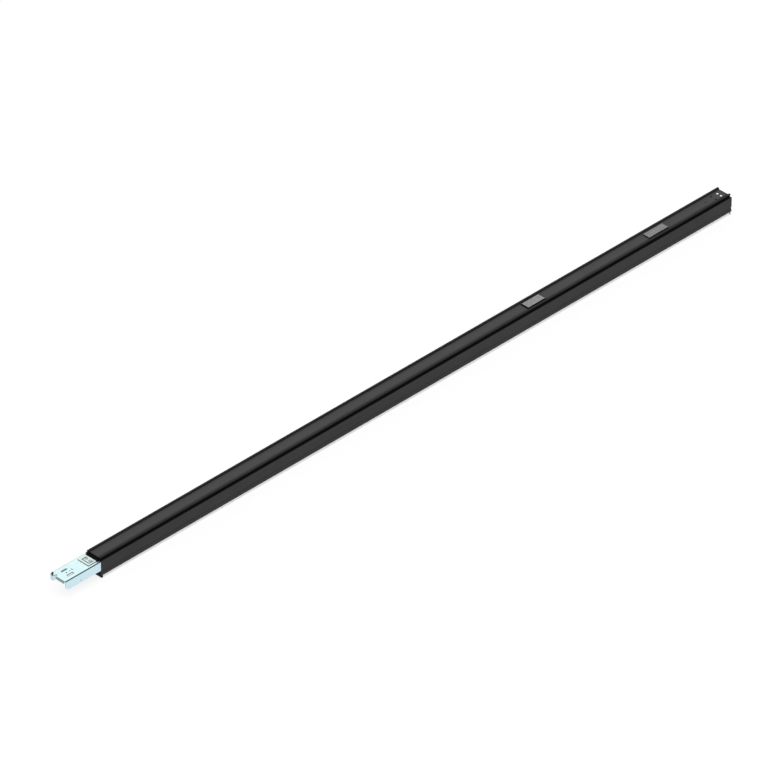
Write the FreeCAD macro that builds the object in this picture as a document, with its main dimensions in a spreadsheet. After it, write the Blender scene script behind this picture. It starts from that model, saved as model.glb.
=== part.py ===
import FreeCAD, Part
import os
import re

import Sketcher

# Lighting trunking rail: a roll-formed steel profile that carries lights and their wiring.
# Millimetres, +Z up, X along the rail with the coupler at the -X end, Y across.
# The origin is under the middle of the whole part, on the plane that it stands on.

doc = FreeCAD.newDocument("TrunkingRail")

# Driving dimensions, one cell each.
SIZES = {
    # rail profile
    "rail_length": 2500.0,
    "rail_width": 62.0,
    "rail_height": 58.0,       # rim top to the bottom of the side walls
    "sheet": 0.8,
    "bend_inner": 0.5,         # inside radius of every bend of the sheet
    "head_width": 52.6,
    "rim_width": 7.0,
    "rim_height": 4.8,         # rims above the recessed top
    "head_side": 3.0,          # rim top to the underside of the head
    "neck_width": 48.0,
    "groove_depth": 9.0,       # rim top to the floor of the clip groove and the side wall's top edge
    "seat_height": 17.0,       # top of the bead in the side wall above its bottom edge
    "bead_foot": 6.9,          # foot of that bead
    "seat_inset": 1.6,         # depth of the bead
    "lip_width": 5.6,
    # tab at the near end of the rail
    "tab_setback": 0.4,        # of the recessed top from the ends of the rims
    "tab_width": 34.8,
    "tab_relief": 1.2,         # width of the cuts beside the tab
    "tab_relief_depth": 3.0,
    "tab_gap": 0.3,            # above the coupler
    # coupling holes at the far end of the rail
    "joint_setback": 20.0,     # joint holes and the bosses under them from the rail's end
    "joint_spacing": 14.6,
    "joint_hole_d": 7.2,
    "key_slot_setback": 44.0,
    "key_slot_spacing": 19.0,
    "key_slot_length": 8.0,
    "key_slot_width": 4.0,
    "earth_hole_setback": 76.0,
    "earth_hole_d": 4.5,
    # coupler
    "coupler_reach": 133.0,    # beyond the rail's near end
    "coupler_grip": 140.0,     # inside the rail
    "coupler_sheet": 1.5,
    "coupler_bend": 2.2,       # outside radius of the long bends
    "coupler_clearance": 0.2,
    "lead_in": 14.0,           # rounded lower corners of the flanges
    "fix_slot_setback": 34.0,
    "fix_slot_spacing": 25.0,
    "fix_slot_length": 21.0,
    "fix_slot_width": 5.0,
    "pilot_hole_setback": 31.5,
    "pilot_hole_d": 5.0,
    "vent_hole_setback": 43.0,
    "vent_hole_d": 3.2,
    "cross_slot_setback": 52.5,
    "cross_slot_length": 9.0,
    "cross_slot_width": 3.2,
    "flange_hole_setback": 56.0,
    "flange_hole_drop": 22.5,
    "flange_hole_d": 4.5,
    "end_flap_width": 32.0,
    "end_flap_height": 9.0,
    "end_flap_offset": 8.0,    # middle of the flap towards -Y
    "end_notch_width": 6.0,
    "end_notch_depth": 7.0,
    "corner_hole_d": 3.2,
    "corner_hole_setback": 3.0,
    "corner_hole_offset": 25.0,
    # joint plate and the seal behind it
    "plate_height": 1.2,
    "plate_reach": 39.3,       # from the rail's end to the plate's front edge
    "plate_inset": 1.5,        # of its sides from the inside of the next rail's neck
    "plate_edge": 0.4,
    "seal_length": 8.0,
    "seal_height": 3.9,
    "seal_edge": 0.6,
    "seal_gap": 0.3,           # to the plate
    "boss_d": 10.0,
    "boss_height": 0.4,
    "boss_edge": 0.2,
    "boss_hole_d": 5.0,
    "tap_hole_d": 4.2,         # in the coupler under each boss
    "tongue_width": 30.0,
    "tongue_length": 19.0,
    "tongue_slit": 2.6,
    "tongue_setback": 8.0,
    # feed openings
    "plug_place": 783.0,       # from the rail's far end to the plug's middle
    "plug_length": 66.0,
    "plug_width": 26.0,
    "plug_gap": 4.0,           # all round, between the plug and its larger opening
    "plug_rise": 2.8,          # top of the plug above the recessed top
    "cover_place": 283.5,
    "cover_length": 77.0,
    "cover_width": 24.5,
    "cover_gap": 2.0,
    "cover_rise": 2.3,
    "lid_height": 1.0,         # of the lids on plug and cover
    "snap_rim": 1.6,           # rim under the sheet that holds plug and cover
    "snap_depth": 2.0,
    "snap_clearance": 0.15,
    # cover strip and its end caps
    "strip_drop": 12.5,        # below the side walls
    "strip_width": 54.0,
    "strip_wall": 1.6,
    "strip_round": 2.5,
    "hook_wall": 1.4,
    "hook_barb": 2.0,
    "hook_height": 3.0,
    "hook_clearance": 0.3,
    "cap_thickness": 4.0,
    "cap_setback": 5.0,        # of the near cap from the rail's near end
    "cap_clearance": 0.2,
}

sheet = doc.addObject("Spreadsheet::Sheet", "Sizes")
for row, (alias, value) in enumerate(SIZES.items(), start=1):
    sheet.set(f"A{row}", alias)
    sheet.set(f"B{row}", str(value))
    sheet.setAlias(f"B{row}", alias)
doc.recompute()


def bound(expression):
    """The expression with each size's name turned into its cell in the sheet."""
    return re.sub(r"[a-z_]+", lambda word: ("Sizes." if word[0] in SIZES else "") + word[0], expression)


# Places that several pieces share, as expressions of the sizes.
NEAR_END = "(coupler_reach - rail_length) / 2"
FAR_END = "(coupler_reach + rail_length) / 2"
WALL_BOTTOM = "strip_drop"
RIM_TOP = "(strip_drop + rail_height)"
RECESS_TOP = f"({RIM_TOP} - rim_height)"
RECESS_UNDER = f"({RECESS_TOP} - sheet)"
GROOVE_UNDER = f"({RIM_TOP} - groove_depth - sheet)"
SEAT_TOP = "(strip_drop + seat_height + sheet * tan(22.5))"
COUPLER_TOP = f"({GROOVE_UNDER} - coupler_clearance)"
COUPLER_BOTTOM = f"({SEAT_TOP} + coupler_clearance)"
COUPLER_HALF = "(rail_width / 2 - sheet - coupler_clearance)"
COUPLER_TIP = f"({NEAR_END} - coupler_reach)"


def new_body(label):
    body = doc.addObject("PartDesign::Body", label)
    body.Label = label
    return body


def origin_plane(body, role):
    return next(plane for plane in body.Origin.OriginFeatures if plane.Role == role)


def new_sketch(body, name, role, offset="0"):
    """A sketch on one of the body's origin planes, moved along that plane's normal."""
    sketch = body.newObject("Sketcher::SketchObject", name)
    sketch.AttachmentSupport = [(origin_plane(body, role), "")]
    sketch.MapMode = "FlatFace"
    sketch.setExpression("AttachmentOffset.Base.z", bound(offset))
    return sketch


def place_point(sketch, curve, point, across, up):
    """Ties a point of the sketch to the origin by two expressions."""
    for kind, axis, expression in (("DistanceX", -2, across), ("DistanceY", -1, up)):
        if expression == "0":
            sketch.addConstraint(Sketcher.Constraint("PointOnObject", curve, point, axis))
            continue
        place = sketch.getPoint(curve, point)
        now = place.x if kind == "DistanceX" else place.y
        number = sketch.addConstraint(Sketcher.Constraint(kind, -1, 1, curve, point, now))
        sketch.setExpression(f"Constraints[{number}]", bound(expression))


def measure(expression):
    """The present value of an expression of the sizes."""
    return float(sheet.evalExpression(bound(expression)))


def outline(sketch, corners):
    """A closed outline of straight lines through corners given as pairs of expressions."""
    points = [FreeCAD.Vector(measure(across), measure(up), 0) for across, up in corners]
    first = sketch.GeometryCount
    count = len(points)
    for index, start in enumerate(points):
        sketch.addGeometry(Part.LineSegment(start, points[(index + 1) % count]))
    for index in range(count):
        following = first + (index + 1) % count
        sketch.addConstraint(Sketcher.Constraint("Coincident", first + index, 2, following, 1))
    for index, (across, up) in enumerate(corners):
        place_point(sketch, first + index, 1, across, up)


def box_outline(sketch, low, high):
    outline(sketch, [low, (high[0], low[1]), high, (low[0], high[1])])


def round_hole(sketch, across, up, diameter):
    centre = FreeCAD.Vector(measure(across), measure(up), 0)
    circle = sketch.addGeometry(Part.Circle(centre, FreeCAD.Vector(0, 0, 1), measure(diameter) / 2))
    place_point(sketch, circle, 3, across, up)
    number = sketch.addConstraint(Sketcher.Constraint("Diameter", circle, measure(diameter)))
    sketch.setExpression(f"Constraints[{number}]", bound(diameter))


def slot_hole(sketch, across, up, length, width, along):
    """A slot with round ends, along the sketch's first ("x") or second ("y") axis."""
    reach = f"({length} - {width}) / 2"
    ends = []
    for sign in ("-", "+"):
        if along == "x":
            ends.append((f"{across} {sign} {reach}", up))
        else:
            ends.append((across, f"{up} {sign} {reach}" if up != "0" else f"0 {sign} {reach}"))
    centres = [FreeCAD.Vector(measure(x), measure(y), 0) for x, y in ends]
    radius = measure(width) / 2
    quarter = FreeCAD.Units.Quantity("90 deg").getValueAs("rad").Value
    turn = 0 if along == "x" else quarter
    axis = FreeCAD.Vector(0, 0, 1)
    caps = []
    for centre, start in zip(centres, (quarter + turn, -quarter + turn)):
        arc = Part.ArcOfCircle(Part.Circle(centre, axis, radius), start, start + 2 * quarter)
        caps.append(sketch.addGeometry(arc))
    sides = []
    for leave, arrive in ((caps[0], caps[1]), (caps[1], caps[0])):
        line = Part.LineSegment(sketch.getPoint(leave, 2), sketch.getPoint(arrive, 1))
        sides.append((leave, sketch.addGeometry(line), arrive))
    for leave, side, arrive in sides:
        sketch.addConstraint(Sketcher.Constraint("Tangent", leave, 2, side, 1))
        sketch.addConstraint(Sketcher.Constraint("Tangent", side, 2, arrive, 1))
    for cap, (x, y) in zip(caps, ends):
        place_point(sketch, cap, 3, x, y)
    number = sketch.addConstraint(Sketcher.Constraint("Radius", caps[0], radius))
    sketch.setExpression(f"Constraints[{number}]", bound(f"{width} / 2"))


def pad(body, sketch, name, length):
    feature = body.newObject("PartDesign::Pad", name)
    feature.Profile = sketch
    feature.setExpression("Length", bound(length))
    doc.recompute()
    return feature


def pocket(body, sketch, name, length, reverse=False):
    """A cut to a length, which has to take material away."""
    before = body.Shape.Volume
    feature = body.newObject("PartDesign::Pocket", name)
    feature.Profile = sketch
    feature.Reversed = reverse
    feature.setExpression("Length", bound(length))
    doc.recompute()
    if not body.Shape.Volume < before:
        raise RuntimeError(f"{name} cuts nothing")
    return feature


def mirror_across(body, name, features):
    mirror = body.newObject("PartDesign::Mirrored", name)
    mirror.Originals = features
    mirror.MirrorPlane = (origin_plane(body, "XZ_Plane"), [""])
    body.Tip = mirror
    doc.recompute()
    return mirror


def edge_names(shape, wanted):
    """Names of the shape's edges for which wanted(edge) is true."""
    return [f"Edge{number}" for number, edge in enumerate(shape.Edges, start=1) if wanted(edge)]


def round_edges(body, name, wanted, radius):
    base = body.Tip
    feature = body.newObject("PartDesign::Fillet", name)
    feature.Base = (base, edge_names(base.Shape, wanted))
    feature.setExpression("Radius", bound(radius))
    doc.recompute()
    return feature


TOUCH = 1e-4


def runs_along_x(edge):
    ends = [vertex.Point for vertex in edge.Vertexes]
    return len(ends) == 2 and (ends[1] - ends[0]).cross(FreeCAD.Vector(1, 0, 0)).Length < TOUCH


# Rail profile: half of the bent sheet's section, from the middle of the recessed top outwards and
# down to the lip, and back along the sheet's other face. Each corner says which bend radius it gets.
rail = new_body("rail_profile")
HALF = "rail_width / 2"
HEAD = "head_width / 2"
NECK = "neck_width / 2"
SEAT = f"{HALF} - seat_inset"
UNDER_HEAD = f"{RIM_TOP} - head_side"
GROOVE_FLOOR = f"{RIM_TOP} - groove_depth"
SEAT_BEND = f"{WALL_BOTTOM} + seat_height"
BEAD_FOOT = f"{WALL_BOTTOM} + bead_foot"
LIP_EDGE = f"{HALF} - lip_width"
EASE = "sheet * tan(22.5)"
SECTION = [
    ("0", RECESS_TOP, None),
    (f"{HEAD} - rim_width", RECESS_TOP, "inner"),
    (f"{HEAD} - rim_width", RIM_TOP, "outer"),
    (HEAD, RIM_TOP, "outer"),
    (HEAD, UNDER_HEAD, "outer"),
    (NECK, UNDER_HEAD, "inner"),
    (NECK, GROOVE_FLOOR, "inner"),
    (HALF, GROOVE_FLOOR, "outer"),
    (HALF, SEAT_BEND, "outer"),
    (SEAT, f"{SEAT_BEND} - seat_inset", "inner"),
    (SEAT, f"{BEAD_FOOT} + seat_inset", "inner"),
    (HALF, BEAD_FOOT, "outer"),
    (HALF, WALL_BOTTOM, "outer"),
    (LIP_EDGE, WALL_BOTTOM, None),
    (LIP_EDGE, f"{WALL_BOTTOM} + sheet", None),
    (f"{HALF} - sheet", f"{WALL_BOTTOM} + sheet", "inner"),
    (f"{HALF} - sheet", f"{BEAD_FOOT} - {EASE}", "inner"),
    (f"{SEAT} - sheet", f"{BEAD_FOOT} + seat_inset - {EASE}", "outer"),
    (f"{SEAT} - sheet", f"{SEAT_BEND} - seat_inset + {EASE}", "outer"),
    (f"{HALF} - sheet", f"{SEAT_BEND} + {EASE}", "inner"),
    (f"{HALF} - sheet", f"{GROOVE_FLOOR} - sheet", "inner"),
    (f"{NECK} - sheet", f"{GROOVE_FLOOR} - sheet", "outer"),
    (f"{NECK} - sheet", f"{UNDER_HEAD} + sheet", "outer"),
    (f"{HEAD} - sheet", f"{UNDER_HEAD} + sheet", "inner"),
    (f"{HEAD} - sheet", f"{RIM_TOP} - sheet", "inner"),
    (f"{HEAD} - rim_width + sheet", f"{RIM_TOP} - sheet", "inner"),
    (f"{HEAD} - rim_width + sheet", f"{RECESS_TOP} - sheet", "outer"),
    ("0", f"{RECESS_TOP} - sheet", None),
]
half_section = new_sketch(rail, "half_section", "YZ_Plane", NEAR_END)
outline(half_section, [corner[:2] for corner in SECTION])
half_rail = pad(rail, half_section, "half_rail", "rail_length")


def bend_edges(kind):
    places = [(measure(across), measure(up)) for across, up, bend in SECTION if bend == kind]

    def wanted(edge):
        middle = edge.CenterOfMass
        at_bend = any(abs(abs(middle.y) - y) < TOUCH and abs(middle.z - z) < TOUCH for y, z in places)
        return at_bend and runs_along_x(edge)

    return wanted


mirror_across(rail, "whole_rail", [half_rail])
round_edges(rail, "outer_bends", bend_edges("outer"), "bend_inner + sheet")
round_edges(rail, "inner_bends", bend_edges("inner"), "bend_inner")

# Far end of the rail: two joint holes, two key slots and an earth hole in the recessed top.
FLAT_CUT = "rim_height + sheet"
far_holes = new_sketch(rail, "far_holes", "XY_Plane", RIM_TOP)
for side in ("-", ""):
    round_hole(far_holes, f"{FAR_END} - joint_setback", f"{side}joint_spacing / 2", "joint_hole_d")
    slot_hole(
        far_holes,
        f"{FAR_END} - key_slot_setback",
        f"{side}key_slot_spacing / 2",
        "key_slot_length",
        "key_slot_width",
        "x",
    )
round_hole(far_holes, f"{FAR_END} - earth_hole_setback", "0", "earth_hole_d")
pocket(rail, far_holes, "far_hole_cuts", f"{FLAT_CUT} + sheet")

# Two feed openings in the recessed top, one for the plug and one for the longer cover.
feed_openings = new_sketch(rail, "feed_openings", "XY_Plane", RIM_TOP)


def feed_box(sketch, place, length, width, extra):
    """A rectangle on the rail's middle line, set from the far end and grown by extra all round."""
    middle = f"{FAR_END} - {place}"
    low = (f"{middle} - {length} / 2 - {extra}", f"-{width} / 2 - {extra}")
    high = (f"{middle} + {length} / 2 + {extra}", f"{width} / 2 + {extra}")
    box_outline(sketch, low, high)


feed_box(feed_openings, "plug_place", "plug_length", "plug_width", "plug_gap")
feed_box(feed_openings, "cover_place", "cover_length", "cover_width", "cover_gap")
pocket(rail, feed_openings, "feed_opening_cuts", f"{FLAT_CUT} + sheet")

# Near end of the rail: the recessed top is cut back from the rims' ends and bent down as a tab, which
# closes the gap above the coupler. Two relief cuts free the tab from the rims.
near_cut = new_sketch(rail, "near_cut", "XY_Plane", RIM_TOP)
TAB_FACE = f"{NEAR_END} + tab_setback"
TAB_HALF = "tab_width / 2"
outline(
    near_cut,
    [
        (NEAR_END, f"-{TAB_HALF} - tab_relief"),
        (f"{TAB_FACE} + tab_relief_depth", f"-{TAB_HALF} - tab_relief"),
        (f"{TAB_FACE} + tab_relief_depth", f"-{TAB_HALF}"),
        (TAB_FACE, f"-{TAB_HALF}"),
        (TAB_FACE, TAB_HALF),
        (f"{TAB_FACE} + tab_relief_depth", TAB_HALF),
        (f"{TAB_FACE} + tab_relief_depth", f"{TAB_HALF} + tab_relief"),
        (NEAR_END, f"{TAB_HALF} + tab_relief"),
    ],
)
pocket(rail, near_cut, "near_cut_back", f"{FLAT_CUT} + sheet")
tab = new_sketch(rail, "tab", "YZ_Plane", TAB_FACE)
box_outline(tab, (f"-{TAB_HALF}", f"{COUPLER_TOP} + tab_gap"), (TAB_HALF, RECESS_UNDER))
pad(rail, tab, "end_tab", "sheet")


def tab_bend(along, up):
    """Tests an edge across the rail's middle for lying at a distance along the rail and a height."""
    place = FreeCAD.Vector(measure(along), 0, measure(up))
    return lambda edge: edge.CenterOfMass.isEqual(place, TOUCH) and edge.BoundBox.YLength > measure(TAB_HALF)


round_edges(rail, "tab_bend_outside", tab_bend(TAB_FACE, RECESS_TOP), "bend_inner + sheet")
round_edges(rail, "tab_bend_inside", tab_bend(f"{TAB_FACE} + sheet", RECESS_UNDER), "bend_inner")

# Coupler: a galvanised channel, open side down, pushed half its length into the near end of the rail
# between the clip grooves and the beads of the side walls.
coupler = new_body("coupler")
COUPLER_LENGTH = "coupler_reach + coupler_grip"
channel = new_sketch(coupler, "channel", "YZ_Plane", COUPLER_TIP)
INSIDE = f"{COUPLER_HALF} - coupler_sheet"
outline(
    channel,
    [
        (f"-{COUPLER_HALF}", COUPLER_BOTTOM),
        (f"-({INSIDE})", COUPLER_BOTTOM),
        (f"-({INSIDE})", f"{COUPLER_TOP} - coupler_sheet"),
        (INSIDE, f"{COUPLER_TOP} - coupler_sheet"),
        (INSIDE, COUPLER_BOTTOM),
        (COUPLER_HALF, COUPLER_BOTTOM),
        (COUPLER_HALF, COUPLER_TOP),
        (f"-{COUPLER_HALF}", COUPLER_TOP),
    ],
)
pad(coupler, channel, "channel_pad", COUPLER_LENGTH)


def at_place(expressions):
    """Tests an edge along X for lying at one of the heights and distances from the middle plane."""
    places = [(measure(across), measure(up)) for across, up in expressions]

    def wanted(edge):
        middle = edge.CenterOfMass
        near = any(abs(abs(middle.y) - y) < TOUCH and abs(middle.z - z) < TOUCH for y, z in places)
        return near and runs_along_x(edge)

    return wanted


round_edges(coupler, "channel_bends", at_place([(COUPLER_HALF, COUPLER_TOP)]), "coupler_bend")
INNER_BEND = "coupler_bend - coupler_sheet"
INNER_CORNERS = [(INSIDE, f"{COUPLER_TOP} - coupler_sheet")]
round_edges(coupler, "channel_bends_inside", at_place(INNER_CORNERS), INNER_BEND)

flap = new_sketch(coupler, "flap", "YZ_Plane", COUPLER_TIP)
box_outline(
    flap,
    ("-end_flap_offset - end_flap_width / 2", f"{COUPLER_TOP} - coupler_sheet - end_flap_height"),
    ("-end_flap_offset + end_flap_width / 2", f"{COUPLER_TOP} - coupler_sheet"),
)
pad(coupler, flap, "end_flap", "coupler_sheet")


def flap_corner(edge):
    """The two lower corners of the end flap, which run along X."""
    middle = edge.CenterOfMass
    low = measure(f"{COUPLER_TOP} - coupler_sheet - end_flap_height")
    return abs(middle.z - low) < TOUCH and edge.Length < measure("2 * coupler_sheet") and runs_along_x(edge)


round_edges(coupler, "flap_corners", flap_corner, "end_flap_height / 3")


def flange_corner(edge):
    """The four lower end corners of the flanges, which run across the thin flange."""
    ends = [vertex.Point for vertex in edge.Vertexes]
    low = abs(edge.CenterOfMass.z - measure(COUPLER_BOTTOM)) < TOUCH
    return len(ends) == 2 and low and abs(ends[1].x - ends[0].x) < TOUCH


round_edges(coupler, "flange_corners", flange_corner, "lead_in")

# The coupler's top holes: two slots, a pilot hole, a small hole and a cross slot, and the same
# again at the end inside the rail, because the channel is punched alike at both ends; and two
# smaller holes for the joint screws.
plate_holes = new_sketch(coupler, "plate_holes", "XY_Plane", COUPLER_TOP)
COUPLER_ENDS = ((COUPLER_TIP, "+"), (f"{NEAR_END} + coupler_grip", "-"))
for end, inward in COUPLER_ENDS:
    for side in ("-", ""):
        slot_hole(
            plate_holes,
            f"{end} {inward} fix_slot_setback",
            f"{side}fix_slot_spacing / 2",
            "fix_slot_length",
            "fix_slot_width",
            "x",
        )
    round_hole(plate_holes, f"{end} {inward} pilot_hole_setback", "0", "pilot_hole_d")
    round_hole(plate_holes, f"{end} {inward} vent_hole_setback", "0", "vent_hole_d")
    slot_hole(
        plate_holes,
        f"{end} {inward} cross_slot_setback",
        "0",
        "cross_slot_length",
        "cross_slot_width",
        "y",
    )
for side in ("-", ""):
    round_hole(plate_holes, f"{NEAR_END} - joint_setback", f"{side}joint_spacing / 2", "tap_hole_d")
round_hole(plate_holes, f"{COUPLER_TIP} + corner_hole_setback", "corner_hole_offset", "corner_hole_d")
pocket(coupler, plate_holes, "plate_hole_cuts", "2 * coupler_sheet")

# A relief notch in the top beside the end flap, from the tip inwards.
tip_notch = new_sketch(coupler, "tip_notch", "XY_Plane", COUPLER_TOP)
FLAP_SIDE = "end_flap_width / 2 - end_flap_offset"
box_outline(
    tip_notch,
    (COUPLER_TIP, FLAP_SIDE),
    (f"{COUPLER_TIP} + end_notch_depth", f"{FLAP_SIDE} + end_notch_width"),
)
pocket(coupler, tip_notch, "tip_notch_cut", "2 * coupler_sheet")

flange_holes = new_sketch(coupler, "flange_holes", "XZ_Plane", f"-{COUPLER_HALF}")
for end, inward in COUPLER_ENDS:
    round_hole(
        flange_holes,
        f"{end} {inward} flange_hole_setback",
        f"{COUPLER_TOP} - flange_hole_drop",
        "flange_hole_d",
    )
pocket(coupler, flange_holes, "flange_hole_cuts", f"2 * {COUPLER_HALF}", reverse=True)

# Joint plate: a moulded plate on the coupler's top, up to the seal. A tongue slit free on
# three sides carries two bosses for the joint screws, which lie under the joint holes of the next rail.
plate = new_body("joint_plate")
PLATE_HALF = f"{NECK} - sheet - plate_inset"
plate_plan = new_sketch(plate, "plate_plan", "XY_Plane", COUPLER_TOP)
box_outline(
    plate_plan,
    (f"{NEAR_END} - plate_reach", f"-({PLATE_HALF})"),
    (f"{NEAR_END} - seal_length - seal_gap", PLATE_HALF),
)
pad(plate, plate_plan, "plate_pad", "plate_height")


def at_height(expression):
    height = measure(expression)
    return lambda edge: edge.BoundBox.ZLength < TOUCH and abs(edge.CenterOfMass.z - height) < TOUCH


PLATE_TOP = f"{COUPLER_TOP} + plate_height"
BOSS_TOP = f"{PLATE_TOP} + boss_height"
round_edges(plate, "plate_edges", at_height(PLATE_TOP), "plate_edge")
bosses = new_sketch(plate, "bosses", "XY_Plane", PLATE_TOP)
for side in ("-", ""):
    round_hole(bosses, f"{NEAR_END} - joint_setback", f"{side}joint_spacing / 2", "boss_d")
pad(plate, bosses, "boss_pads", "boss_height")
round_edges(plate, "boss_edges", at_height(BOSS_TOP), "boss_edge")

boss_holes = new_sketch(plate, "boss_holes", "XY_Plane", BOSS_TOP)
for side in ("-", ""):
    round_hole(boss_holes, f"{NEAR_END} - joint_setback", f"{side}joint_spacing / 2", "boss_hole_d")
pocket(plate, boss_holes, "boss_hole_cuts", "plate_height + boss_height")

slit = new_sketch(plate, "slit", "XY_Plane", PLATE_TOP)
TONGUE_TIP = f"{NEAR_END} - plate_reach + tongue_setback"
TONGUE_ROOT = f"{TONGUE_TIP} + tongue_length"
outline(
    slit,
    [
        (TONGUE_TIP, "-tongue_width / 2"),
        (TONGUE_ROOT, "-tongue_width / 2"),
        (TONGUE_ROOT, "-tongue_width / 2 + tongue_slit"),
        (f"{TONGUE_TIP} + tongue_slit", "-tongue_width / 2 + tongue_slit"),
        (f"{TONGUE_TIP} + tongue_slit", "tongue_width / 2 - tongue_slit"),
        (TONGUE_ROOT, "tongue_width / 2 - tongue_slit"),
        (TONGUE_ROOT, "tongue_width / 2"),
        (TONGUE_TIP, "tongue_width / 2"),
    ],
)
pocket(plate, slit, "slit_cut", "plate_height")

# Joint seal: a soft block on the coupler between the plate and the rail's end.
seal = new_body("joint_seal")
SEAL_HALF = f"{NECK} - sheet - coupler_clearance"
seal_plan = new_sketch(seal, "seal_plan", "XY_Plane", COUPLER_TOP)
box_outline(seal_plan, (f"{NEAR_END} - seal_length", f"-({SEAL_HALF})"), (NEAR_END, SEAL_HALF))
pad(seal, seal_plan, "seal_pad", "seal_height")
round_edges(seal, "seal_edges", at_height(f"{COUPLER_TOP} + seal_height"), "seal_edge")

# What fills the two feed openings is held by a snap rim under the sheet.
FEED_UNDER = f"{RECESS_UNDER} - snap_depth"


def feed_filler(label, place, length, width, gap, rise):
    """A moulded filler: the part in the opening, and the snap rim below the sheet."""
    body = new_body(label)
    stem = new_sketch(body, label + "_stem", "XY_Plane", FEED_UNDER)
    feed_box(stem, place, length, width, "0")
    pad(body, stem, label + "_stem_pad", f"snap_depth + sheet + {rise}")
    rim = new_sketch(body, label + "_rim", "XY_Plane", FEED_UNDER)
    feed_box(rim, place, length, width, f"({gap} + snap_rim)")
    pad(body, rim, label + "_rim_pad", "snap_depth - snap_clearance")


for kind in ("plug", "cover"):
    place, length, width = (f"{kind}_{size}" for size in ("place", "length", "width"))
    feed_filler(f"feed_{kind}", place, length, width, f"{kind}_gap", f"{kind}_rise")
    lid = new_body(f"feed_{kind}_lid")
    lid_plan = new_sketch(lid, f"{kind}_lid_plan", "XY_Plane", f"{RECESS_TOP} + {kind}_rise")
    feed_box(lid_plan, place, length, width, "0")
    pad(lid, lid_plan, f"{kind}_lid_pad", "lid_height")
    LID_TOP = f"{RECESS_TOP} + {kind}_rise + lid_height"
    round_edges(lid, f"{kind}_lid_edges", at_height(LID_TOP), "lid_height / 2")

# Cover strip: a plastic trough that closes the underside of the rail. Its walls stand under the
# lips and two barbed hooks reach through between the lips and hold on top of them.
strip = new_body("cover_strip")
STRIP_HALF = "strip_width / 2"
HOOK_OUT = f"({LIP_EDGE} - hook_clearance)"
LIP_TOP = f"{WALL_BOTTOM} + sheet"
BARB_LOW = f"{LIP_TOP} + hook_clearance"
half_strip = new_sketch(strip, "half_strip", "YZ_Plane", f"{NEAR_END} + cap_setback + cap_thickness")
outline(
    half_strip,
    [
        ("0", "0"),
        (STRIP_HALF, "0"),
        (STRIP_HALF, WALL_BOTTOM),
        (f"{STRIP_HALF} - strip_wall", WALL_BOTTOM),
        (f"{STRIP_HALF} - strip_wall", "strip_wall"),
        (HOOK_OUT, "strip_wall"),
        (HOOK_OUT, BARB_LOW),
        (f"{HOOK_OUT} + hook_barb", BARB_LOW),
        (HOOK_OUT, f"{BARB_LOW} + hook_height"),
        (f"{HOOK_OUT} - hook_wall", f"{BARB_LOW} + hook_height"),
        (f"{HOOK_OUT} - hook_wall", "strip_wall"),
        ("0", "strip_wall"),
    ],
)
half_strip_pad = pad(strip, half_strip, "half_strip_pad", "rail_length - cap_setback - 2 * cap_thickness")
mirror_across(strip, "whole_strip", [half_strip_pad])
round_edges(strip, "strip_edges", at_place([(STRIP_HALF, "0")]), "strip_round")


# End caps: thin moulded plates that close the strip and the rail's lower half at both ends, waisted
# where they pass between the lips.
def end_cap(label, start):
    body = new_body(label)
    face = new_sketch(body, label + "_face", "YZ_Plane", start)
    waist = f"({LIP_EDGE} - cap_clearance)"
    shoulder = f"({SEAT} - sheet - cap_clearance)"
    crown = f"{SEAT_BEND} - seat_inset"
    right = [
        (STRIP_HALF, "0"),
        (STRIP_HALF, f"{WALL_BOTTOM} - cap_clearance"),
        (waist, f"{WALL_BOTTOM} - cap_clearance"),
        (waist, f"{LIP_TOP} + cap_clearance"),
        (shoulder, f"{LIP_TOP} + cap_clearance"),
        (shoulder, crown),
    ]
    left = [(f"-({across})", up) for across, up in reversed(right)]
    outline(face, right + left)
    pad(body, face, label + "_plate", "cap_thickness")
    round_edges(body, label + "_corners", at_place([(STRIP_HALF, "0")]), "strip_round")


end_cap("cover_end_cap_near", f"{NEAR_END} + cap_setback")
end_cap("cover_end_cap_far", f"{FAR_END} - cap_thickness")

# Every object has to be sound before anything is written.
doc.recompute()
for item in doc.Objects:
    if {"Invalid", "Error"} & set(item.State):
        raise RuntimeError(f"{item.Label} did not compute: {item.State}")
bodies = [item for item in doc.Objects if item.TypeId == "PartDesign::Body"]
for body in bodies:
    if body.Shape.isNull() or not body.Shape.isValid():
        raise RuntimeError(f"{body.Label} is not a valid solid")

os.makedirs("parts", exist_ok=True)
for body in bodies:
    solids = body.Shape.Solids
    print(body.Label, len(solids), "solid,", round(body.Shape.Volume), "mm3,", body.Shape.BoundBox)
    body.Shape.exportStep(f"parts/{body.Label}.step")
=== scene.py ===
import math

import bpy
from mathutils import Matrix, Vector


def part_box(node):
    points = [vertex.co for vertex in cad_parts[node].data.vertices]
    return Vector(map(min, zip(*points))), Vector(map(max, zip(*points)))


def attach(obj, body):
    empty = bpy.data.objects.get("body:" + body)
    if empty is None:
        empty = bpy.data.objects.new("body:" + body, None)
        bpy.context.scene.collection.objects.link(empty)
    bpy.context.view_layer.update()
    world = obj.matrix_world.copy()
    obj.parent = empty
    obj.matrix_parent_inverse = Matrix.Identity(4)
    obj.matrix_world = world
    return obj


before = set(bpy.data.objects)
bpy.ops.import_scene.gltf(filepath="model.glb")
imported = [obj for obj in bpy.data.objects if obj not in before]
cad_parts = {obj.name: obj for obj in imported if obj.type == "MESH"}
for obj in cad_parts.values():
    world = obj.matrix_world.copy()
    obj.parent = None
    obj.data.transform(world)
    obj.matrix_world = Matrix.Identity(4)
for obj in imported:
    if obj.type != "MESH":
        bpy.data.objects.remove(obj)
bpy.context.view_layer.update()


# The rail: one long steel sheet, roll-formed into a trunking profile and powder coated afterwards.
# The coat covers every bend and cut end, so no bare metal shows.
# The forming rolls leave faint lines along it.

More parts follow.
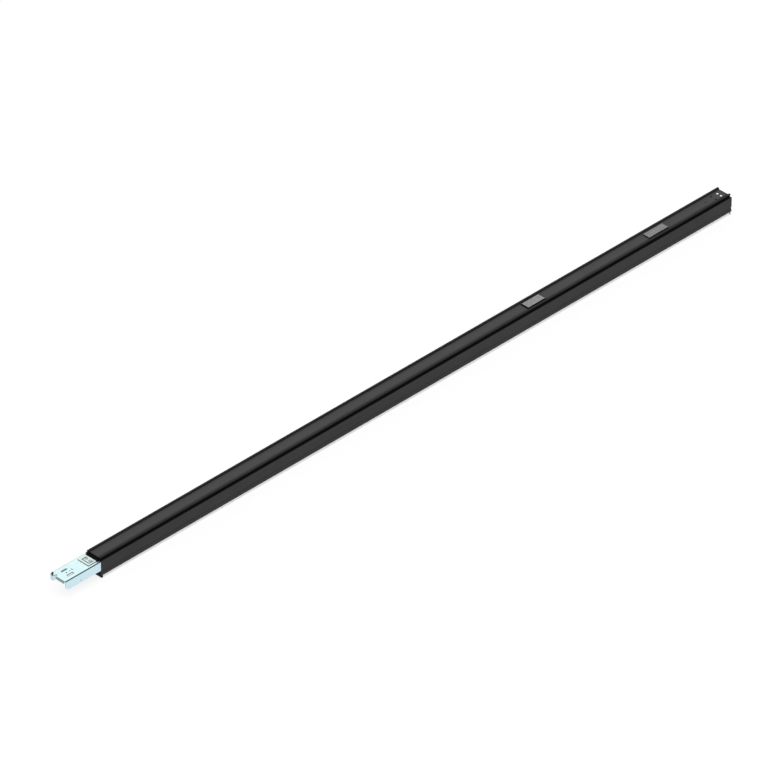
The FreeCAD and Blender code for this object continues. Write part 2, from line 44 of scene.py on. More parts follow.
def linear(code):
    """Linear RGBA of an sRGB hex colour."""
    parts = [int(code[i:i + 2], 16) / 255 for i in (0, 2, 4)]
    return (*(c / 12.92 if c <= 0.04045 else ((c + 0.055) / 1.055) ** 2.4 for c in parts), 1.0)


def add(tree, kind, inputs=(), **settings):
    """Adds one shader node. Inputs are values, sockets, or nodes whose first output is linked."""
    made = tree.nodes.new("ShaderNode" + kind)
    for name, value in settings.items():
        setattr(made, name, value)
    for name, value in dict(inputs).items():
        source = value.outputs[0] if isinstance(value, bpy.types.Node) else value
        if isinstance(source, bpy.types.NodeSocket):
            tree.links.new(source, made.inputs[name])
        else:
            made.inputs[name].default_value = source
    return made


def finish_named(name):
    """A new material and its node tree, still empty."""
    material = bpy.data.materials.new(name)
    material.use_nodes = True
    material.node_tree.nodes.clear()
    return material, material.node_tree


def wear(node, material):
    """Puts a finish on a solid of the frame."""
    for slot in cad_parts[node].material_slots:
        slot.material = material


MM = 0.001

# Satin black powder coat: cured plastic powder, deep black, with a soft sheen and a fine orange peel.
# Upward faces are painted a lighter grey as painted light, the others a darker grey as painted shade, and
# next to one rim the recess keeps the darker grey as a painted shadow of that rim. The rims are painted
# darker as painted shade, with pale scuffs where rails are stacked and clips slide. The clip grooves are
# painted near-black as painted shade, and made dull. Painted shadow darkens each bead's inset face under its
# ledge, and the tab at the rail's near end is painted near-black as painted shade.
COAT_SHADED = "2f2f30"
COAT_LIT = "424243"
COAT_RIM_SHADE = "1a1a1b"
COAT_SCUFFED = "313132"
COAT_DEEP_SHADE = "050505"
PEEL_STEP = 1.5 * MM
ROLL_STEP, ROLL_LENGTH = 2 * MM, 900 * MM
SCUFF_LENGTH, SCUFF_WIDTH = 18 * MM, 1.2 * MM
HANDLED_PATCH = 90 * MM
# where the marks lie: across from the middle plane, or up, or along the rail, in metres
RIM_FOOT, RIM_CROWN = 0.0664, 0.0672
RIM_SHADOW_EDGE, RIM_SHADOW_END = -0.0145, -0.0095
LIT_BELOW = RIM_FOOT - 10 * MM
GROOVE_MIDDLE, GROOVE_REACH = (0.0266, 0.06495), (0.0038, 0.00405)
BEAD_FACE, BEAD_SLACK = 0.0294, 0.3 * MM
BEAD_LEDGE, LEDGE_SHADOW_END = 0.0279, 0.0240
TAB_TOP_END, TAB_LOW, RECESS_HALF = -1.1788, 0.0600, 0.0193
coat, tree = finish_named("satin_black_powder_coat")
place = add(tree, "TexCoord").outputs["Object"]
spot = add(tree, "SeparateXYZ", {0: place})
facing = add(tree, "SeparateXYZ", {0: add(tree, "NewGeometry").outputs["Normal"]})
aside = add(tree, "Math", {0: spot.outputs["Y"]}, operation="ABSOLUTE")
# painted light: upward faces low down and in the recess are lighter, except a painted shadow beside the
# right rim
upward = add(tree, "MapRange", {"Value": facing.outputs["Z"], "From Min": 0.5, "From Max": 0.95})
clear_of_rim_shadow = add(tree, "MapRange", {"Value": spot.outputs["Y"], "From Min": RIM_SHADOW_EDGE, "From Max": RIM_SHADOW_END})
below = add(tree, "Math", {0: spot.outputs["Z"], 1: LIT_BELOW}, operation="LESS_THAN")
lit_place = add(tree, "Math", {0: clear_of_rim_shadow, 1: below}, operation="MAXIMUM")
top_lit = add(tree, "Math", {0: upward, 1: lit_place}, operation="MULTIPLY")
flat_tone = add(tree, "MixRGB", {"Fac": top_lit,
                                 "Color1": linear(COAT_SHADED), "Color2": linear(COAT_LIT)})
# rims: painted darker as painted shade, with pale scuffs along them
along = add(tree, "Mapping", {"Vector": place,
                              "Scale": (1 / SCUFF_LENGTH, 1 / SCUFF_WIDTH, 1 / SCUFF_WIDTH)})
scuffs = add(tree, "TexNoise", {"Vector": along, "Scale": 1.0, "Detail": 4.0})
scuffed = add(tree, "MapRange", {"Value": scuffs, "From Min": 0.6, "From Max": 0.72})
rim_tone = add(tree, "MixRGB", {"Fac": scuffed,
                                "Color1": linear(COAT_RIM_SHADE), "Color2": linear(COAT_SCUFFED)})
on_rim = add(tree, "MapRange", {"Value": spot.outputs["Z"], "From Min": RIM_FOOT, "From Max": RIM_CROWN})
rims_shaded_and_scuffed = add(tree, "MixRGB", {"Fac": on_rim, "Color1": flat_tone, "Color2": rim_tone})
# clip grooves: a box along each side that holds the whole groove, painted near-black as painted shade
in_width = add(tree, "Math", {0: aside, 1: GROOVE_MIDDLE[0], 2: GROOVE_REACH[0]}, operation="COMPARE")
in_height = add(tree, "Math", {0: spot.outputs["Z"], 1: GROOVE_MIDDLE[1], 2: GROOVE_REACH[1]},
                operation="COMPARE")
in_groove = add(tree, "Math", {0: in_width, 1: in_height}, operation="MULTIPLY")
# painted shadow under the bead's ledge, fading downwards
in_bead = add(tree, "Math", {0: aside, 1: BEAD_FACE, 2: BEAD_SLACK}, operation="COMPARE")
ledge = add(tree, "MapRange", {"Value": spot.outputs["Z"], "From Min": LEDGE_SHADOW_END, "From Max": BEAD_LEDGE,
                               "To Max": 0.5})
ledge_shadow = add(tree, "Math", {0: in_bead, 1: ledge}, operation="MULTIPLY")
# painted shade on the tab at the rail's near end
at_end = add(tree, "Math", {0: spot.outputs["X"], 1: TAB_TOP_END}, operation="LESS_THAN")
between_rims = add(tree, "Math", {0: aside, 1: RECESS_HALF}, operation="LESS_THAN")
over_tab = add(tree, "Math", {0: spot.outputs["Z"], 1: TAB_LOW}, operation="GREATER_THAN")
end_strip = add(tree, "Math", {0: at_end, 1: between_rims}, operation="MULTIPLY")
tab_shade = add(tree, "Math", {0: end_strip, 1: over_tab}, operation="MULTIPLY")
shaded_and_dull_spots = add(tree, "Math", {0: in_groove, 1: tab_shade}, operation="MAXIMUM")
dark = add(tree, "Math", {0: shaded_and_dull_spots, 1: ledge_shadow}, operation="MAXIMUM")
# painted shade: grooves, the bead ledges and the near-end tab go towards near-black
tone = add(tree, "MixRGB", {"Fac": dark, "Color1": rims_shaded_and_scuffed, "Color2": linear(COAT_DEEP_SHADE)})
# roll lines run the whole length; handling polishes the coat in wide patches
lengthwise = add(tree, "Mapping", {"Vector": place,
                                   "Scale": (1 / ROLL_LENGTH, 1 / ROLL_STEP, 1 / ROLL_STEP)})
roll_lines = add(tree, "TexNoise", {"Vector": lengthwise, "Scale": 1.0, "Detail": 3.0})
streak = add(tree, "MapRange", {"Value": roll_lines, "From Min": 0.3, "From Max": 0.7,
                                "To Min": 0.9, "To Max": 1.1})
colour = add(tree, "VectorMath", {0: tone, 1: streak}, operation="MULTIPLY")
handling = add(tree, "TexNoise", {"Vector": place, "Scale": 1 / HANDLED_PATCH, "Detail": 4.0})
matt = add(tree, "MapRange", {"Value": handling, "From Min": 0.3, "From Max": 0.7,
                              "To Min": 0.42, "To Max": 0.54})
dull = add(tree, "Math", {0: matt, 1: shaded_and_dull_spots}, operation="MAXIMUM")
soft_edge = add(tree, "Bevel", {"Radius": 0.25 * MM}, samples=4)
drawn = add(tree, "Bump", {"Height": roll_lines, "Normal": soft_edge,
                           "Strength": 0.25, "Distance": 0.03 * MM})
peel = add(tree, "TexNoise", {"Vector": place, "Scale": 1 / PEEL_STEP, "Detail": 2.0})
skin = add(tree, "Bump", {"Height": peel, "Normal": drawn, "Strength": 0.9, "Distance": 0.08 * MM})
surface = add(tree, "BsdfPrincipled", {"Base Color": colour, "Roughness": dull, "IOR": 1.5,
                                       "Specular IOR Level": 0.12, "Normal": skin})
add(tree, "OutputMaterial", {"Surface": surface})
wear("rail_profile", coat)


# The coupler: a channel folded from galvanised steel sheet, pushed half way into the rail's near end.
# Its holes and outline were sheared before folding, so the cut edges are bare steel.

# Bright galvanised steel: near-white zinc with a faint spangle and fine rolling lines along the sheet.
# The bends, and a strip of the top beside the bend at the right, are painted dark as a painted reflection.
ZINC = "e2fcfd"
ZINC_DEEP = "d9f3f6"
ZINC_SIDE_REFLECTION = "cfe8f2"
ZINC_BEND_REFLECTION = "2c3f40"
ZINC_INSIDE_SHADE = "7d8a8b"
SLOT_SHADE = "48595b"
SLIT_SHADE = "2c3836"
END_FACE_SHADE = "8c9a9c"
SHEARED_AND_SHADED = "36423f"
SPANGLE_GRAIN = 7 * MM
ROLLING_STEP, ROLLING_LENGTH = 0.8 * MM, 60 * MM
SCUFF_LENGTH, SCUFF_WIDTH, SCUFF_TURN = 12 * MM, 0.5 * MM, math.radians(14)
# where the marks lie, in metres
BEND_EDGE, BEND_FOOT = -0.0270, -0.0279
SLOT_MIDDLE, SLOT_STRAIGHT, SLOT_RADIUS = (-1.2825, 0.0125), 8 * MM, 2.5 * MM
SLOT_SHADE_REACH, SLOT_SHADE_LIGHT = 2.2 * MM, 0.35
PLATE_MIDDLE, PLATE_HALF = -1.2073, (0.0155, 0.0217)
WEB_UNDER, WEB_SLACK, INSIDE_HALF = 0.059, 0.1 * MM, 0.0288
OPEN_TIP, DEEP_INSIDE = -1.302, -1.284
zinc, tree = finish_named("bright_galvanised_steel")
place = add(tree, "TexCoord").outputs["Object"]
spot = add(tree, "SeparateXYZ", {0: place})
facing = add(tree, "SeparateXYZ", {0: add(tree, "NewGeometry").outputs["Normal"]})
sideways = add(tree, "Math", {0: facing.outputs["Y"]}, operation="ABSOLUTE")
off_middle = add(tree, "Math", {0: spot.outputs["Y"]}, operation="ABSOLUTE")
spangle = add(tree, "TexVoronoi", {"Vector": place, "Scale": 1 / SPANGLE_GRAIN, "Randomness": 1.0})
grain_value = add(tree, "SeparateColor", {"Color": spangle.outputs["Color"]})
tone = add(tree, "MixRGB", {"Fac": grain_value, "Color1": linear(ZINC), "Color2": linear(ZINC_DEEP)})
# upright faces are painted bluer and darker, as a painted reflection
side_reflection = add(tree, "MixRGB", {"Fac": sideways, "Color1": tone, "Color2": linear(ZINC_SIDE_REFLECTION)})
# a bend faces partly up and partly aside
on_bend = add(tree, "Math", {0: sideways, 1: facing.outputs["Z"]}, operation="MULTIPLY")
curved = add(tree, "MapRange", {"Value": on_bend, "From Min": 0.02, "From Max": 0.2})
beside = add(tree, "MapRange", {"Value": spot.outputs["Y"], "From Min": BEND_EDGE, "From Max": BEND_FOOT})
flat_top = add(tree, "Math", {0: beside, 1: facing.outputs["Z"]}, operation="MULTIPLY")
bend_reflection = add(tree, "Math", {0: curved, 1: flat_top}, operation="MAXIMUM")
# painted reflection: the bends and the strip beside the right bend are darkened
bend_darkened = add(tree, "MixRGB", {"Fac": bend_reflection, "Color1": side_reflection, "Color2": linear(ZINC_BEND_REFLECTION)})
# painted shade round the two slots, heavier at the right
endways = add(tree, "Math", {0: spot.outputs["X"], 1: SLOT_MIDDLE[0]}, operation="SUBTRACT")
off_end = add(tree, "Math", {0: endways}, operation="ABSOLUTE")
past_end = add(tree, "Math", {0: off_end, 1: SLOT_STRAIGHT}, operation="SUBTRACT")
past = add(tree, "Math", {0: past_end, 1: 0.0}, operation="MAXIMUM")
off_line = add(tree, "Math", {0: off_middle, 1: SLOT_MIDDLE[1]}, operation="SUBTRACT")
apart = add(tree, "CombineXYZ", {0: past, 1: off_line})
reach = add(tree, "VectorMath", {0: apart}, operation="LENGTH").outputs["Value"]
rubbed = add(tree, "MapRange", {"Value": reach, "From Min": SLOT_RADIUS + SLOT_SHADE_REACH,
                                "From Max": SLOT_RADIUS + SLOT_SHADE_REACH / 2})
shade_side = add(tree, "MapRange", {"Value": spot.outputs["Y"], "From Min": -SLOT_MIDDLE[1],
                                      "From Max": SLOT_MIDDLE[1], "To Min": 1.0, "To Max": SLOT_SHADE_LIGHT})
slot_shading = add(tree, "Math", {0: rubbed, 1: shade_side}, operation="MULTIPLY")
slot_shaded = add(tree, "MixRGB", {"Fac": slot_shading, "Color1": bend_darkened, "Color2": linear(SLOT_SHADE)})
# painted shade under the joint plate, seen dark through the slit round its tongue
plate_long = add(tree, "Math", {0: spot.outputs["X"], 1: PLATE_MIDDLE, 2: PLATE_HALF[0]},
                 operation="COMPARE")
plate_wide = add(tree, "Math", {0: off_middle, 1: PLATE_HALF[1]}, operation="LESS_THAN")
under_plate = add(tree, "Math", {0: plate_long, 1: plate_wide}, operation="MULTIPLY")
slit_shaded = add(tree, "MixRGB", {"Fac": under_plate, "Color1": slot_shaded, "Color2": linear(SLIT_SHADE)})
# painted shade: the inside of the channel is painted grey away from the open tip
within = add(tree, "Math", {0: off_middle, 1: INSIDE_HALF}, operation="LESS_THAN")
beneath = add(tree, "Math", {0: spot.outputs["Z"], 1: WEB_UNDER + WEB_SLACK}, operation="LESS_THAN")
inside = add(tree, "Math", {0: within, 1: beneath}, operation="MULTIPLY")
deep = add(tree, "MapRange", {"Value": spot.outputs["X"], "From Min": OPEN_TIP, "From Max": DEEP_INSIDE})
inside_shade = add(tree, "Math", {0: inside, 1: deep}, operation="MULTIPLY")
inside_shaded = add(tree, "MixRGB", {"Fac": inside_shade, "Color1": slit_shaded, "Color2": linear(ZINC_INSIDE_SHADE)})
# faces across the rail are the turned-down end flap, painted darker as painted shade; upright faces within
# the web's thickness are bare sheared steel, painted very dark, partly as painted shade in the holes
endwise = add(tree, "Math", {0: facing.outputs["X"]}, operation="ABSOLUTE")
on_end = add(tree, "MapRange", {"Value": endwise, "From Min": 0.6, "From Max": 0.8})
end_face_shaded = add(tree, "MixRGB", {"Fac": on_end, "Color1": inside_shaded, "Color2": linear(END_FACE_SHADE)})
upright = add(tree, "MapRange", {"Value": facing.outputs["Z"], "From Min": 0.1, "From Max": 0.05})
in_web = add(tree, "Math", {0: spot.outputs["Z"], 1: WEB_UNDER}, operation="GREATER_THAN")
cut = add(tree, "Math", {0: upright, 1: in_web}, operation="MULTIPLY")
colour = add(tree, "MixRGB", {"Fac": cut, "Color1": end_face_shaded, "Color2": linear(SHEARED_AND_SHADED)})
# handling scuffs the shine; each spangle grain shines a little differently
along = add(tree, "Mapping", {"Vector": place, "Rotation": (0.0, 0.0, SCUFF_TURN),
                              "Scale": (1 / SCUFF_LENGTH, 1 / SCUFF_WIDTH, 1 / SCUFF_WIDTH)})
scuffs = add(tree, "TexNoise", {"Vector": along, "Scale": 1.0, "Detail": 3.0})
scuffed = add(tree, "MapRange", {"Value": scuffs, "From Min": 0.58, "From Max": 0.7, "To Max": 0.16})
matt_grain = add(tree, "MapRange", {"Value": grain_value.outputs["Green"], "To Min": 0.28, "To Max": 0.4})
matt = add(tree, "Math", {0: matt_grain, 1: scuffed}, operation="ADD")
lengthwise = add(tree, "Mapping", {"Vector": place,
                                   "Scale": (1 / ROLLING_LENGTH, 1 / ROLLING_STEP, 1 / ROLLING_STEP)})
rolling = add(tree, "TexNoise", {"Vector": lengthwise, "Scale": 1.0, "Detail": 2.0})
soft_edge = add(tree, "Bevel", {"Radius": 0.3 * MM}, samples=4)
skin = add(tree, "Bump", {"Height": rolling, "Normal": soft_edge, "Strength": 0.2, "Distance": 0.02 * MM})
surface = add(tree, "BsdfPrincipled", {"Base Color": colour, "Metallic": 1.0, "Roughness": matt,
                                       "Normal": skin})
add(tree, "OutputMaterial", {"Surface": surface})
wear("coupler", zinc)


# The joint plate: a thin white nylon moulding on the coupler's top, with two bosses that take the clamping
# screws. Its upright faces and its front and right edges are painted dark, as painted shade.

# Satin white nylon: the spark-eroded tool leaves a soft sheen and a fine grain. The real grain is about
# 0.25 mm, and is drawn at 0.5 mm so that it shows in a close view.
NYLON_WHITE = "e3f4ef"
NYLON_SHADE = "d9eae5"
EDGE_SHADE = "33413e"
NYLON_GRAIN, NYLON_FLOW = 0.5 * MM, 25 * MM
FRONT_SHADE_START, FRONT_SHADE_FULL = -1.2211, -1.2218
RIGHT_SHADE_START, RIGHT_SHADE_FULL = -0.0196, -0.0204
nylon, tree = finish_named("satin_white_nylon")
place = add(tree, "TexCoord").outputs["Object"]
spot = add(tree, "SeparateXYZ", {0: place})
facing = add(tree, "SeparateXYZ", {0: add(tree, "NewGeometry").outputs["Normal"]})
flow = add(tree, "TexNoise", {"Vector": place, "Scale": 1 / NYLON_FLOW, "Detail": 2.0})
white = add(tree, "MixRGB", {"Fac": flow, "Color1": linear(NYLON_WHITE), "Color2": linear(NYLON_SHADE)})
# painted shade: upright faces and the front and right edges turn dark
upright = add(tree, "MapRange", {"Value": facing.outputs["Z"], "From Min": 0.75, "From Max": 0.3})
front = add(tree, "MapRange", {"Value": spot.outputs["X"], "From Min": FRONT_SHADE_START, "From Max": FRONT_SHADE_FULL})
right = add(tree, "MapRange", {"Value": spot.outputs["Y"], "From Min": RIGHT_SHADE_START, "From Max": RIGHT_SHADE_FULL})
along_edges = add(tree, "Math", {0: front, 1: right}, operation="MAXIMUM")
edge_shaded = add(tree, "Math", {0: upright, 1: along_edges}, operation="MAXIMUM")
colour = add(tree, "MixRGB", {"Fac": edge_shaded, "Color1": white, "Color2": linear(EDGE_SHADE)})
grain = add(tree, "TexNoise", {"Vector": place, "Scale": 1 / NYLON_GRAIN, "Detail": 2.0})
soft_edge = add(tree, "Bevel", {"Radius": 0.2 * MM}, samples=4)
skin = add(tree, "Bump", {"Height": grain, "Normal": soft_edge, "Strength": 0.4, "Distance": 0.02 * MM})
surface = add(tree, "BsdfPrincipled", {"Base Color": colour, "Roughness": 0.45, "IOR": 1.53, "Normal": skin})
add(tree, "OutputMaterial", {"Surface": surface})
wear("joint_plate", nylon)


# Two clamping screws in the plate's bosses, each with a plain washer: pan heads with a cross recess, cold
# headed and rolled, then zinc plated. They go through the plate into tapped holes in the coupler.

def turned(name, profile, at, steps=40):
    """A round piece on an upright axis: (radius, height) pairs in mm, closed on the axis or round a hole."""
    points, rings, faces = [], [], []
    for radius, rise in profile:
        count = steps if radius else 1
        rings.append(range(len(points), len(points) + count))
        for k in range(count):
            angle = 2 * math.pi * k / steps
            points.append((at[0] + radius * MM * math.cos(angle), at[1] + radius * MM * math.sin(angle),
                           at[2] + rise * MM))
    pairs = list(zip(rings, rings[1:])) + ([(rings[-1], rings[0])] if profile[0][0] else [])
    for low, high in pairs:
        for here in range(steps):
            there = (here + 1) % steps
            corners = [high[here % len(high)], high[there % len(high)],
                       low[there % len(low)], low[here % len(low)]]
            faces.append(list(dict.fromkeys(corners)))
    mesh = bpy.data.meshes.new(name)
    mesh.from_pydata(points, [], faces)
    mesh.validate()
    mesh.shade_smooth()
    mesh.set_sharp_from_angle(angle=math.radians(32))
    piece = bpy.data.objects.new(name, mesh)
    bpy.context.scene.collection.objects.link(piece)
    return piece


# Zinc plated steel: a bluish silver with a soft shine, mottled by heading and barrel finishing.
PLATING = "b4bbbe"
PLATING_DULL = "9aa3a6"
BARREL_MOTTLE = 0.8 * MM
plating, tree = finish_named("zinc_plated_screw_steel")
place = add(tree, "TexCoord").outputs["Object"]
mottle = add(tree, "TexNoise", {"Vector": place, "Scale": 1 / BARREL_MOTTLE, "Detail": 3.0})
colour = add(tree, "MixRGB", {"Fac": mottle, "Color1": linear(PLATING), "Color2": linear(PLATING_DULL)})
matt = add(tree, "MapRange", {"Value": mottle, "To Min": 0.24, "To Max": 0.4})
skin = add(tree, "Bump", {"Height": mottle, "Strength": 0.15, "Distance": 0.03 * MM})
surface = add(tree, "BsdfPrincipled", {"Base Color": colour, "Metallic": 1.0, "Roughness": matt,
                                       "Normal": skin})
add(tree, "OutputMaterial", {"Surface": surface})

BOSS_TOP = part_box("joint_plate")[1].z
SCREW_PLACE, SCREW_HALF_SPAN = -1.2035, 7.3 * MM
WASHER = [(2.65, 0.0), (2.65, 0.7), (4.75, 0.7), (4.9, 0.55), (4.9, 0.15), (4.75, 0.0)]
PAN = [(0, 1.6), (1.6, 1.56), (2.8, 1.36), (3.6, 0.95), (4.0, 0.45), (4.0, 0.1), (3.9, 0.0), (2.0, 0.0)]
# in mm: the head stands on the washer, and below it an M4 thread ends in a blunt point
HEAD_FOOT, THREAD_END, POINT_END, PITCH = 0.7, -10.0, -10.4, 0.8
CREST, ROOT, POINT = 2.0, 1.7, 1.4
thread = []
rise = -HEAD_FOOT
while rise > THREAD_END:
    thread += [(CREST, rise), (ROOT, rise - 0.35 * PITCH), (CREST, rise - 0.7 * PITCH)]
    rise -= PITCH
thread += [(POINT, POINT_END), (0, POINT_END)]
# the driver's cross is pressed in by a star-shaped punch that tapers from over the crown to the recess floor
RECESS_ARM, RECESS_HALF_WIDTH, RECESS_DEPTH = 2.1 * MM, 0.55 * MM, 1.2 * MM
STAR_OVER, STAR_WIDE, STAR_NARROW = 0.3 * MM, 1.08, 0.55
arm, half = RECESS_ARM, RECESS_HALF_WIDTH
star = [(arm, -half), (arm, half), (half, half), (half, arm), (-half, arm), (-half, half),
        (-arm, half), (-arm, -half), (-half, -half), (-half, -arm), (half, -arm), (half, -half)]
count = len(star)
ends = [tuple(range(count)), tuple(range(2 * count - 1, count - 1, -1))]
sides = [(count + k, count + (k + 1) % count, (k + 1) % count, k) for k in range(count)]
crown = BOSS_TOP + (HEAD_FOOT + PAN[0][1]) * MM
levels = ((crown + STAR_OVER, STAR_WIDE), (crown - RECESS_DEPTH, STAR_NARROW))
for side, across, degrees in (("left", SCREW_HALF_SPAN, 24), ("right", -SCREW_HALF_SPAN, 61)):
    seat = Vector((SCREW_PLACE, across, BOSS_TOP))
    washer = turned("clamp_washer_" + side, WASHER, seat)
    screw = turned("clamp_screw_" + side, PAN + thread, seat + Vector((0, 0, HEAD_FOOT * MM)))
    turn = math.radians(degrees)
    points = [(seat.x + k * (x * math.cos(turn) - y * math.sin(turn)),
               seat.y + k * (x * math.sin(turn) + y * math.cos(turn)), z)
              for z, k in levels for x, y in star]
    punch_mesh = bpy.data.meshes.new("driver_punch")
    punch_mesh.from_pydata(points, [], ends + sides)
    punch_mesh.validate()
    punch = bpy.data.objects.new("driver_punch", punch_mesh)
    bpy.context.scene.collection.objects.link(punch)
    pressed = screw.modifiers.new("recess", "BOOLEAN")
    pressed.object = punch
    pressed.operation = "DIFFERENCE"
    pressed.solver = "EXACT"
    shape = bpy.data.meshes.new_from_object(screw.evaluated_get(bpy.context.evaluated_depsgraph_get()))
    screw.modifiers.clear()
    screw.data = shape
    bpy.data.objects.remove(punch)
    for piece in (washer, screw):
        piece.data.materials.clear()
        piece.data.materials.append(plating)
        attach(piece, "root")


# The joint seal: a block of soft black rubber between the plate and the rail's end, cut from a moulded mat.
# It is pressed flat when the next rail is pushed on.

# Seal rubber: a dull black that hardly shines, with fine pores.
RUBBER = "030303"
RUBBER_PORE = 0.7 * MM
rubber, tree = finish_named("dull_black_seal_rubber")
place = add(tree, "TexCoord").outputs["Object"]
pores = add(tree, "TexVoronoi", {"Vector": place, "Scale": 1 / RUBBER_PORE})
skin = add(tree, "Bump", {"Height": pores, "Strength": 0.4, "Distance": 0.05 * MM})
surface = add(tree, "BsdfPrincipled", {"Base Color": linear(RUBBER), "Roughness": 0.8,
                                       "Specular IOR Level": 0.08, "Normal": skin})
add(tree, "OutputMaterial", {"Surface": surface})
wear("joint_seal", rubber)


# The feed plug and the longer feed cover: black moulded bodies that snap into the two feed openings, each
# with a light grey lid welded on top. The body's rim holds under the sheet, and a dark gap shows all round.

# Matt black polyamide: the tool's grain breaks up the shine, and rubbing polishes it in patches.
# The real grain is about 0.3 mm, and is drawn at 0.6 mm so that it shows in a close view.
PLUG_BLACK = "0b0b0c"
TOOL_GRAIN, RUBBED_PATCH = 0.6 * MM, 18 * MM
black_plastic, tree = finish_named("matt_black_polyamide")
place = add(tree, "TexCoord").outputs["Object"]
rubbed = add(tree, "TexNoise", {"Vector": place, "Scale": 1 / RUBBED_PATCH, "Detail": 3.0})
matt = add(tree, "MapRange", {"Value": rubbed, "From Min": 0.3, "From Max": 0.7,
                              "To Min": 0.5, "To Max": 0.62})
grain = add(tree, "TexNoise", {"Vector": place, "Scale": 1 / TOOL_GRAIN, "Detail": 2.0})
soft_edge = add(tree, "Bevel", {"Radius": 0.25 * MM}, samples=4)
skin = add(tree, "Bump", {"Height": grain, "Normal": soft_edge, "Strength": 0.5, "Distance": 0.03 * MM})
surface = add(tree, "BsdfPrincipled", {"Base Color": linear(PLUG_BLACK), "Roughness": matt, "IOR": 1.5,
                                       "Specular IOR Level": 0.1, "Normal": skin})
add(tree, "OutputMaterial", {"Surface": surface})
wear("feed_plug", black_plastic)
wear("feed_cover", black_plastic)

# Grained grey ABS: the same tool grain, drawn as coarse, gives a soft, even sheen. Dust and rubbing mottle
# it in patches, and fingers and tools leave pale scuffs.
MOTTLE_PATCH = 8 * MM
SCUFF_LENGTH, SCUFF_WIDTH, SCUFF_TURN = 9 * MM, 0.5 * MM, math.radians(21)
for node, pale, dark, scuff in (("feed_plug_lid", "939393", "808080", "a4a4a4"),
                                ("feed_cover_lid", "848484", "717171", "959595")):
    grey_plastic, tree = finish_named("grained_grey_abs_of_" + node)
    place = add(tree, "TexCoord").outputs["Object"]
    patches = add(tree, "TexNoise", {"Vector": place, "Scale": 1 / MOTTLE_PATCH, "Detail": 3.0})
    mottle = add(tree, "MapRange", {"Value": patches, "From Min": 0.35, "From Max": 0.65})
    dusty = add(tree, "MixRGB", {"Fac": mottle, "Color1": linear(pale), "Color2": linear(dark)})
    along = add(tree, "Mapping", {"Vector": place, "Rotation": (0.0, 0.0, SCUFF_TURN),
                                  "Scale": (1 / SCUFF_LENGTH, 1 / SCUFF_WIDTH, 1 / SCUFF_WIDTH)})
    scuffs = add(tree, "TexNoise", {"Vector": along, "Scale": 1.0, "Detail": 3.0})
    scuffed = add(tree, "MapRange", {"Value": scuffs, "From Min": 0.62, "From Max": 0.74, "To Max": 0.7})
    colour = add(tree, "MixRGB", {"Fac": scuffed, "Color1": dusty, "Color2": linear(scuff)})
    grain = add(tree, "TexNoise", {"Vector": place, "Scale": 1 / TOOL_GRAIN, "Detail": 2.0})
    soft_edge = add(tree, "Bevel", {"Radius": 0.25 * MM}, samples=4)
    skin = add(tree, "Bump", {"Height": grain, "Normal": soft_edge, "Strength": 0.8, "Distance": 0.06 * MM})
    surface = add(tree, "BsdfPrincipled", {"Base Color": colour, "Roughness": 0.55, "IOR": 1.5,
                                           "Specular IOR Level": 0.3, "Normal": skin})
    add(tree, "OutputMaterial", {"Surface": surface})
    wear(node, grey_plastic)


# The guide stud: a small moulding of the same black polyamide, snapped into the coupler's corner hole, where
# its barbed foot holds it. It guides the coupler into the next rail. Its black also stands as painted shade
# in that corner of the coupler.
STUD = [(0, 3.2), (1.8, 3.0), (2.6, 2.4), (2.95, 1.5), (2.95, 0.0), (1.5, 0.0), (1.5, -1.6), (2.2, -2.2),
        (2.2, -5.5), (1.5, -8.5), (0, -8.5)]
STUD_PLACE = (-1.3135, 0.025)
stud = turned("guide_stud", STUD, (*STUD_PLACE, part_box("coupler")[1].z))
stud.data.materials.append(black_plastic)
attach(stud, "root")


# The cover strip: a white PVC extrusion that snaps between the rail's lips and closes its underside.
# Two thin moulded caps of black polyamide close its ends.

# Extruded white PVC: a smooth satin white, with very fine lines from the die along it.
PVC_WHITE = "f6f7f6"
PVC_SHADE = "f0f1f0"
DIE_STEP, DIE_LENGTH = 1 * MM, 1500 * MM
pvc, tree = finish_named("extruded_white_pvc")
place = add(tree, "TexCoord").outputs["Object"]
lengthwise = add(tree, "Mapping", {"Vector": place, "Scale": (1 / DIE_LENGTH, 1 / DIE_STEP, 1 / DIE_STEP)})
die_lines = add(tree, "TexNoise", {"Vector": lengthwise, "Scale": 1.0, "Detail": 2.0})
colour = add(tree, "MixRGB", {"Fac": die_lines, "Color1": linear(PVC_WHITE), "Color2": linear(PVC_SHADE)})
skin = add(tree, "Bump", {"Height": die_lines, "Strength": 0.3, "Distance": 0.02 * MM})
surface = add(tree, "BsdfPrincipled", {"Base Color": colour, "Roughness": 0.38, "IOR": 1.53, "Normal": skin})
add(tree, "OutputMaterial", {"Surface": surface})
wear("cover_strip", pvc)
wear("cover_end_cap_near", black_plastic)
wear("cover_end_cap_far", black_plastic)


# The studio: a white floor, an even sky and two soft lamps at the camera's side.
# To the camera, and in reflections, the floor is a grey sheet over a light table, which looks white and
# keeps a faint shadow of the rail. The rail itself is lit only by what a white floor throws back.

def looked_at(tree):
    """A node that is 1 for what is seen, directly, mirrored or through glass, and 0 for scattered light."""
    seen = add(tree, "LightPath")
    either = add(tree, "Math", {0: seen.outputs["Is Camera Ray"], 1: seen.outputs["Is Glossy Ray"]},
                 operation="MAXIMUM")
    return add(tree, "Math", {0: either, 1: seen.outputs["Is Transmission Ray"]}, operation="MAXIMUM")


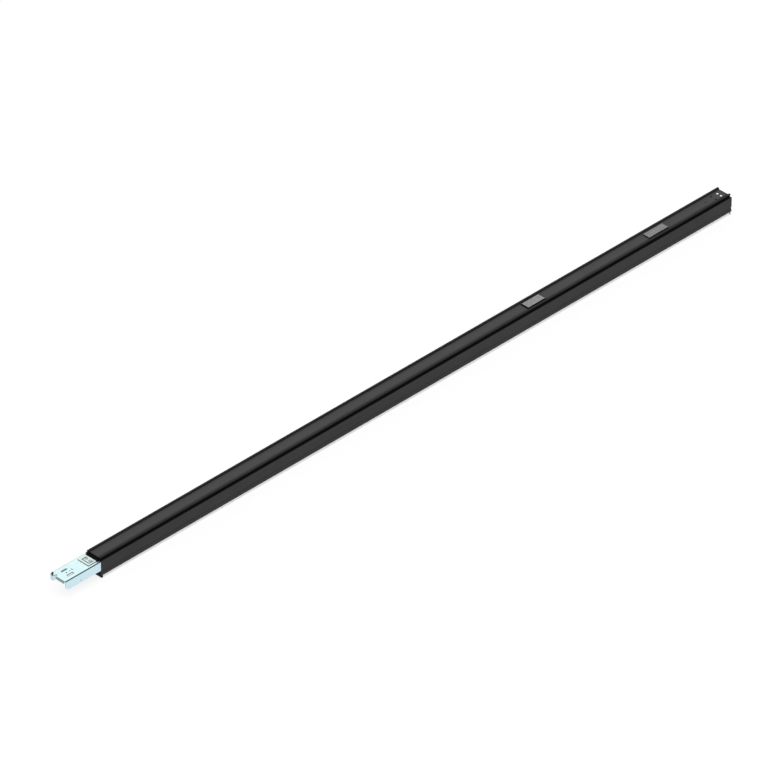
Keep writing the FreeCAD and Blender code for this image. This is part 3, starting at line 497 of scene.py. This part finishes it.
FLOOR_REACH, FLOOR_GAP = 40.0, 0.05 * MM
FLOOR_WHITE = "f8f8f8"
FLOOR_SEEN = "6f6f6f"
FLOOR_GLOW = 0.85
WHITE_LIGHT = (1.0, 1.0, 1.0, 1.0)
floor_mesh = bpy.data.meshes.new("studio_floor")
floor_mesh.from_pydata(
    [(-FLOOR_REACH, -FLOOR_REACH, 0), (FLOOR_REACH, -FLOOR_REACH, 0),
     (FLOOR_REACH, FLOOR_REACH, 0), (-FLOOR_REACH, FLOOR_REACH, 0)], [], [(0, 1, 2, 3)])
floor = bpy.data.objects.new("studio_floor", floor_mesh)
floor.location.z = -FLOOR_GAP
bpy.context.scene.collection.objects.link(floor)
sheet, tree = finish_named("lit_studio_floor")
direct = looked_at(tree)
paint = add(tree, "MixRGB", {"Fac": direct, "Color1": linear(FLOOR_WHITE), "Color2": linear(FLOOR_SEEN)})
glow = add(tree, "Math", {0: direct, 1: FLOOR_GLOW}, operation="MULTIPLY")
surface = add(tree, "BsdfPrincipled", {"Base Color": paint, "Roughness": 1.0, "Specular IOR Level": 0.0,
                                       "Emission Color": WHITE_LIGHT, "Emission Strength": glow})
# seen from under the floor it is clear, so that the rail's underside can be looked at
under = add(tree, "NewGeometry").outputs["Backfacing"]
clear = add(tree, "BsdfTransparent")
add(tree, "OutputMaterial", {"Surface": add(tree, "MixShader", {0: under, 1: surface, 2: clear})})
floor_mesh.materials.append(sheet)

SKY_FILL, SKY_SEEN = 0.6, 1.0
world = bpy.data.worlds.new("studio_sky")
bpy.context.scene.world = world
world.use_nodes = True
tree = world.node_tree
tree.nodes.clear()
level = add(tree, "MapRange", {"Value": looked_at(tree), "To Min": SKY_FILL, "To Max": SKY_SEEN})
sky = add(tree, "Background", {"Color": WHITE_LIGHT, "Strength": level})
add(tree, "OutputWorld", {"Surface": sky})

for name, toward, power, spread in (("key", (0.2, 0.3, -0.93), 1.35, 50),
                                    ("fill", (0.9, 0.1, -0.4), 0.15, 70)):
    lamp = bpy.data.lights.new(name, "SUN")
    lamp.energy = power
    lamp.angle = math.radians(spread)
    holder = bpy.data.objects.new(name, lamp)
    holder.rotation_euler = Vector(toward).to_track_quat("-Z", "Y").to_euler()
    bpy.context.scene.collection.objects.link(holder)

# The camera looks down at 45 degrees to the rail and 35.26 degrees to the floor, from far off with a long
# lens. It was fitted to the rail's outline in the photo.
CAMERA_PLACE = Vector((-16.3666, -16.3631, 16.3991))
CAMERA_TOWARD = Vector((1.0, 1.0, -1.0))
lens = bpy.data.cameras.new("long_lens")
lens.lens = 474.66
lens.sensor_width = 36.0
lens.shift_x = -0.0196
lens.shift_y = 0.0051
lens.clip_start = 0.5
lens.clip_end = 200.0
camera = bpy.data.objects.new("long_lens", lens)
camera.location = CAMERA_PLACE
camera.rotation_euler = CAMERA_TOWARD.to_track_quat("-Z", "Y").to_euler()
bpy.context.scene.collection.objects.link(camera)
bpy.context.scene.camera = camera
bpy.context.scene.view_settings.view_transform = "Standard"
